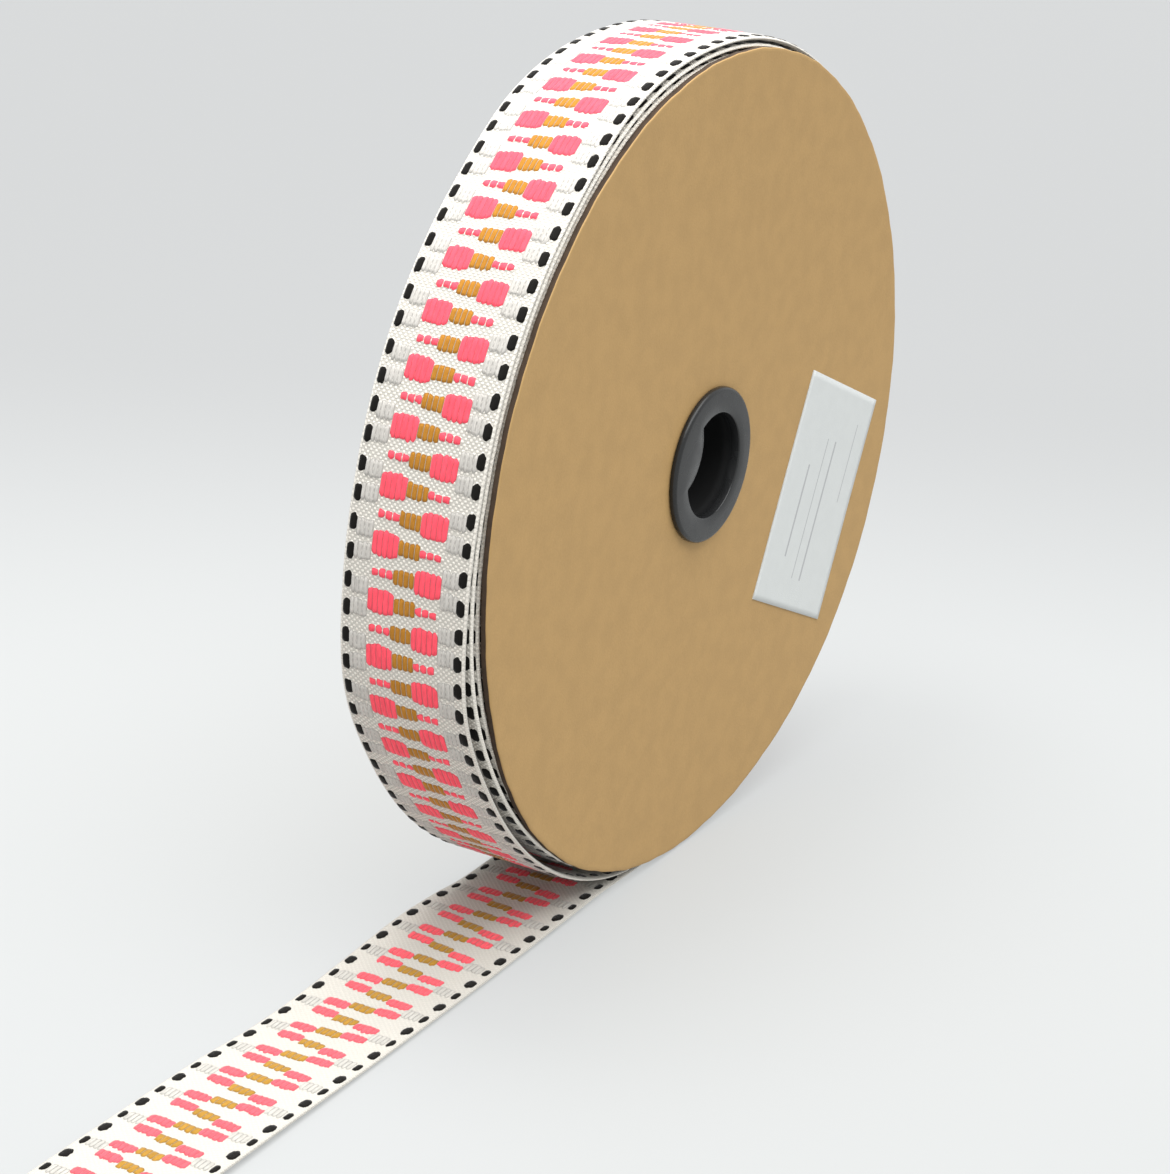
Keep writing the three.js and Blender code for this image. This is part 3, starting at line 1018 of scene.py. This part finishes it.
class REEL_OT_inner_turns(bpy.types.Operator):
    """Adds the turns wound under the outer one, as one spiral in to the hub's tube"""

    bl_idname = "reel.inner_turns"
    bl_label = "Inner turns"

    def execute(self, context):
        settings = context.scene.reel_webbing
        outer_step, inner_step = 1.0, 6.0
        lines = []
        for column in ("second", "third"):
            angle = np.arange(0.0, WHOLE_TURN, outer_step)
            lines.append(wound_points(angle, through(TURNS, angle, column), FLAT_SPOT))
        edge = TURNS[-1]["third"]
        turns = (edge - CORE_RADIUS) / TURN_PITCH
        angle = np.arange(0.0, turns * WHOLE_TURN, inner_step)
        third = through(TURNS, angle % WHOLE_TURN, "third")
        slack = third - (TURNS[0]["third"] - TURN_PITCH * (angle % WHOLE_TURN) / WHOLE_TURN)
        faded = slack * SLACK_FADE ** (angle // WHOLE_TURN + 1)
        lines.append(wound_points(angle, edge - TURN_PITCH * angle / WHOLE_TURN + faded, 0.0))
        line = np.concatenate(lines)
        along = run_lengths(line) + run_lengths(outer_line()[1])[-1] + weave_start()
        weave = {"near": along, "far": along}
        # Kind 2 gives these turns the webbing's painted light
        piece = webbing_ribbon(
            "inner_turns", line, weave, "neither", settings.thickness / MM, webbing(context),
            sunk_on_far_side, (2, 2))
        dress(piece, "webbing", "webbing_roll")
        return {"FINISHED"}


class REEL_OT_loose_end(bpy.types.Operator):
    """Adds the loose end, back face up on the floor"""

    bl_idname = "reel.loose_end"
    bl_label = "Loose end"

    def execute(self, context):
        settings = context.scene.reel_webbing
        line, along = even_stations(tail_line(), settings.station_step / MM)
        from_axis = np.maximum(-line[:, 0], 0)
        creep = WEAVE_CREEP[0]["near"] + through(TAIL_SHAPE, from_axis, "creep", "from_axis")
        place = along - along[-1] + weave_start() - creep
        piece = webbing_ribbon(
            "loose_end_webbing", line, {"near": place, "far": place}, "back",
            settings.thickness / MM, webbing(context), self.lay_out)
        dress(piece, "webbing", "loose_end")
        return {"FINISHED"}

    def lay_out(self, corners):
        """Lifts, moves and slides each edge of the webbing as it lies on the floor"""
        from_axis = np.maximum(-corners[..., 0], 0)
        lie = {move: through(TAIL_SHAPE, from_axis, move, "from_axis") for move in TAIL_MOVES}
        near, far = near_and_far_share(-corners[..., 1])
        laid = corners.copy()
        laid[..., 0] -= lie["far_slide"] * far
        laid[..., 1] -= lie["far_move"] * far + lie["near_move"] * near
        laid[..., 2] += lie["far_lift"] * far + lie["near_lift"] * near
        return laid


def disc_warp(angle, radius, rim):
    """How far the board stands outwards at an angle in degrees from +X towards +Z"""
    return through(DISC_WARP, angle % WHOLE_TURN, "out") * (radius / rim) ** 2


class REEL_OT_discs(bpy.types.Operator):
    """Adds the two cardboard side discs"""

    bl_idname = "reel.discs"
    bl_label = "Side discs"

    def execute(self, context):
        settings = context.scene.reel_parts
        fibre = paper_fibre_group()
        board = paper_material("kraft_board", settings.board, fibre, 1.0, 0.035, 0.75)[0]
        # The cut edge's dark colour is partly its own and partly painted shade
        rim_finish_and_shade = paper_material("board_rim_and_shade", settings.rim_tone_and_shade, fibre, 0.4, 0.18, 0.95)[0]
        seat, seat_margin, rim_margin = 18.8, 0.3, 1.3
        inner, outer = HALF_WIDTH + 0.3, -NEAR_DISC[0][1] / MM
        softness, hollow = 0.35, 0.1
        ring_count, ring_crowding, trim_power = 14, 0.7, 12
        steps = 360
        angle = np.arange(steps) * WHOLE_TURN / steps
        turn = np.radians(angle)
        ragged = sum(wave["height"] * np.sin(wave["count"] * turn) for wave in RIM_WAVES)
        rims = {"near": settings.disc_radius / MM, "far": settings.far_disc_radius / MM}
        for side, way in SIDES.items():
            rim, share = rims[side], BOARD_SHARE[side]
            spread = seat + (rim - rim_margin - seat) * np.linspace(0, 1, ring_count) ** ring_crowding
            radii = np.concatenate([[seat], spread + seat_margin * np.linspace(1, 0, ring_count)])
            outer_face = [(r, outer) for r in radii]
            edge = [
                (rim - softness, outer),
                (rim - softness / 4, outer - softness / 3),
                (rim, outer - softness),
                (rim - hollow, (outer + inner) / 2),
                (rim, inner + softness),
                (rim - softness / 3, inner),
            ]
            inner_face = [(r, inner) for r in radii[::-2]]
            profile = np.array(outer_face + edge + inner_face)
            round_radius, flat_stand = profile[:, :1], profile[:, 1:]
            trim = share * through(DISC_TRIM, angle, "out") + ragged
            radius = round_radius + trim * (round_radius / rim) ** trim_power
            stand = flat_stand + share * disc_warp(angle, radius, rim)
            piece = turned_piece(f"{side}_board", radius, stand, turn, way, board)
            piece.data.materials.append(rim_finish_and_shade)
            first, last = len(radii) + 2, len(radii) + len(edge) - 2
            ring = np.repeat(np.arange(len(profile)), steps)
            cut = ((ring >= first) & (ring <= last)).astype(np.int32)
            piece.data.polygons.foreach_set("material_index", cut)
            dress(piece, "cardboard", f"{side}_disc")
        return {"FINISHED"}


class REEL_OT_hubs(bpy.types.Operator):
    """Adds the two halves of the plastic hub, each with a drive tab in its mouth"""

    bl_idname = "reel.hubs"
    bl_label = "Hub"

    def execute(self, context):
        settings = context.scene.reel_parts
        plastic = plastic_material(settings)
        wall, flange_depth, inner_end = 2.5, 2.0, 0.15
        rim_round, bend_steps, bevel, lip = 1.2, 6, 0.1, 0.4
        tab_angle, tab_centre, tab_lobe, tab_depth = math.radians(157), 22.5, 13.0, 4.0
        bore = settings.bore_radius / MM
        tube = bore + wall
        flange = NEAR_HUB[1][0] / MM
        face = -NEAR_HUB[0][1] / MM
        seat = face - flange_depth
        steps = 192
        turn = np.arange(steps) * math.tau / steps
        off = wrapped(turn - tab_angle, math.pi)
        reach = np.maximum(tab_lobe ** 2 - (tab_centre * np.sin(off)) ** 2, 0)
        meets = (np.abs(off) < math.pi / 2) & (reach > 0)
        lobe = np.where(meets, tab_centre * np.cos(off) - np.sqrt(reach), bore)
        mouth = np.minimum(bore, lobe)
        rings = [
            (tube, inner_end),
            (bore, inner_end),
            (bore, face - tab_depth),
            (mouth, face - tab_depth),
            (mouth, face - lip),
            (mouth + lip * 0.3, face - lip * 0.3),
            (mouth + lip, face),
            ((mouth + lip + flange - rim_round) / 2, face),
        ]
        for step in range(bend_steps + 1):
            bend = step / bend_steps * math.pi / 2
            out, down = rim_round * (math.sin(bend) - 1), rim_round * (math.cos(bend) - 1)
            rings.append((flange + out, face + down))
        rings.append((flange, seat + bevel))
        rings.append((flange - bevel, seat))
        rings.append((tube, seat))
        radius = np.array([np.broadcast_to(ring[0], steps) for ring in rings])
        stand = np.array([np.full(steps, ring[1]) for ring in rings])
        for side, way in SIDES.items():
            piece = turned_piece(f"{side}_hub_half", radius, stand, turn, way, plastic)
            dress(piece, "hub_plastic", f"{side}_hub")
        return {"FINISHED"}


class REEL_OT_sticker(bpy.types.Operator):
    """Adds the sticker, which follows the near board"""

    bl_idname = "reel.sticker"
    bl_label = "Sticker"

    def execute(self, context):
        settings = context.scene.reel_parts
        rim = settings.disc_radius / MM
        width, length, thickness, seated = 52.0, 74.0, 0.3, 0.26
        turned, bearing, from_axis = math.radians(24.5), math.radians(-22.6), 81.7
        centre = (from_axis * math.cos(bearing), from_axis * math.sin(bearing))
        columns, rows = 27, 38
        u = np.linspace(-width / 2, width / 2, columns)
        v = np.linspace(-length / 2, length / 2, rows)
        grid_v, grid_u = np.meshgrid(v, u, indexing="ij")
        x = centre[0] + grid_u * math.cos(turned) + grid_v * math.sin(turned)
        z = centre[1] - grid_u * math.sin(turned) + grid_v * math.cos(turned)
        angle = np.degrees(np.arctan2(z, x))
        warp = disc_warp(angle, np.hypot(x, z), rim)
        front = -STICKER[0][1] / MM
        layers = []
        for stand in (front - seated, front - seated - thickness):
            layers.append(np.stack([x, -(stand + warp), AXIS_HEIGHT + z], axis=-1).reshape(-1, 3))
        points = np.concatenate(layers)
        size = rows * columns
        upper = grid_faces(rows, columns)
        lower = [[corner + size for corner in face[::-1]] for face in upper]
        border = np.concatenate([
            np.arange(columns),
            np.arange(1, rows) * columns + columns - 1,
            (rows - 1) * columns + np.arange(columns - 2, -1, -1),
            np.arange(rows - 2, 0, -1) * columns,
        ]).tolist()
        walls = []
        for here, there in zip(border, border[1:] + border[:1]):
            walls.append([here, there, there + size, here + size])
        fibre = bpy.data.node_groups["Paper fibre"]
        paper, wire, shader, tone = paper_material(
            "sticker_paper", settings.paper, fibre, 0.6, 0.012, 0.5)
        self.rule_lines(wire, shader, tone, settings)
        piece = make_piece("plain_sticker", points, upper + lower + walls, paper)
        smooth = [True] * (len(upper) + len(lower)) + [False] * len(walls)
        piece.data.polygons.foreach_set("use_smooth", smooth)
        label = np.stack([grid_u.ravel(), grid_v.ravel(), np.zeros(size)], axis=-1)
        store_vectors(piece, "label_place", np.concatenate([label, label]))
        dress(piece, "sticker_paper", "size_sticker")
        return {"FINISHED"}

    def rule_lines(self, wire, shader, tone, settings):
        """Plain grey rules along the sticker, where a label would carry its lines"""
        place = wire.add("ShaderNodeAttribute", {}, attribute_name="label_place").outputs["Vector"]
        parts = wire.add("ShaderNodeSeparateXYZ", {"Vector": place}).outputs
        rules = table(("across", "middle", "length", "thick"), [
            (-11.0, -6.0, 30.0, 1.0),
            (-2.0, -4.0, 46.0, 0.5),
            (4.0, -4.0, 46.0, 1.0),
            (17.0, 14.0, 26.0, 0.5),
        ])
        ink = 0.0
        for rule in rules:
            off = wire.math("ABSOLUTE", wire.minus(parts["X"], rule["across"]))
            end = wire.math("ABSOLUTE", wire.minus(parts["Y"], rule["middle"]))
            on_line = wire.math("LESS_THAN", off, rule["thick"] / 2)
            on = wire.times(on_line, wire.math("LESS_THAN", end, rule["length"] / 2))
            ink = wire.math("MAXIMUM", on, ink)
        plain = wire.shade(settings.paper, tone)
        wire.feed(shader.inputs["Base Color"], wire.mix(ink, plain, rgba(settings.rule)))


class REEL_PT_sidebar(bpy.types.Panel):
    """Lists the reel's pieces"""

    bl_idname = "REEL_PT_sidebar"
    bl_label = "Webbing reel"
    bl_space_type = "VIEW_3D"
    bl_region_type = "UI"
    bl_category = "Reel"

    def draw(self, context):
        for operator in OPERATORS:
            self.layout.operator(operator.bl_idname)


SETTINGS = {
    "reel_webbing": WebbingSettings,
    "reel_parts": ReelSettings,
    "reel_studio": StudioSettings,
}
OPERATORS = [
    REEL_OT_studio,
    REEL_OT_loose_end,
    REEL_OT_outer_turn,
    REEL_OT_inner_turns,
    REEL_OT_discs,
    REEL_OT_hubs,
    REEL_OT_sticker,
]


def register():
    for group in SETTINGS.values():
        bpy.utils.register_class(group)
    for name, group in SETTINGS.items():
        setattr(bpy.types.Scene, name, bpy.props.PointerProperty(type=group))
    for operator in OPERATORS:
        bpy.utils.register_class(operator)
    bpy.utils.register_class(REEL_PT_sidebar)


def unregister():
    bpy.utils.unregister_class(REEL_PT_sidebar)
    for operator in reversed(OPERATORS):
        bpy.utils.unregister_class(operator)
    for name in SETTINGS:
        delattr(bpy.types.Scene, name)
    for group in SETTINGS.values():
        bpy.utils.unregister_class(group)


def main():
    register()
    bpy.ops.reel.studio()
    bpy.ops.reel.loose_end()
    bpy.ops.reel.outer_turn()
    bpy.ops.reel.inner_turns()
    bpy.ops.reel.discs()
    bpy.ops.reel.hubs()
    bpy.ops.reel.sticker()


if __name__ == "__main__":
    main()
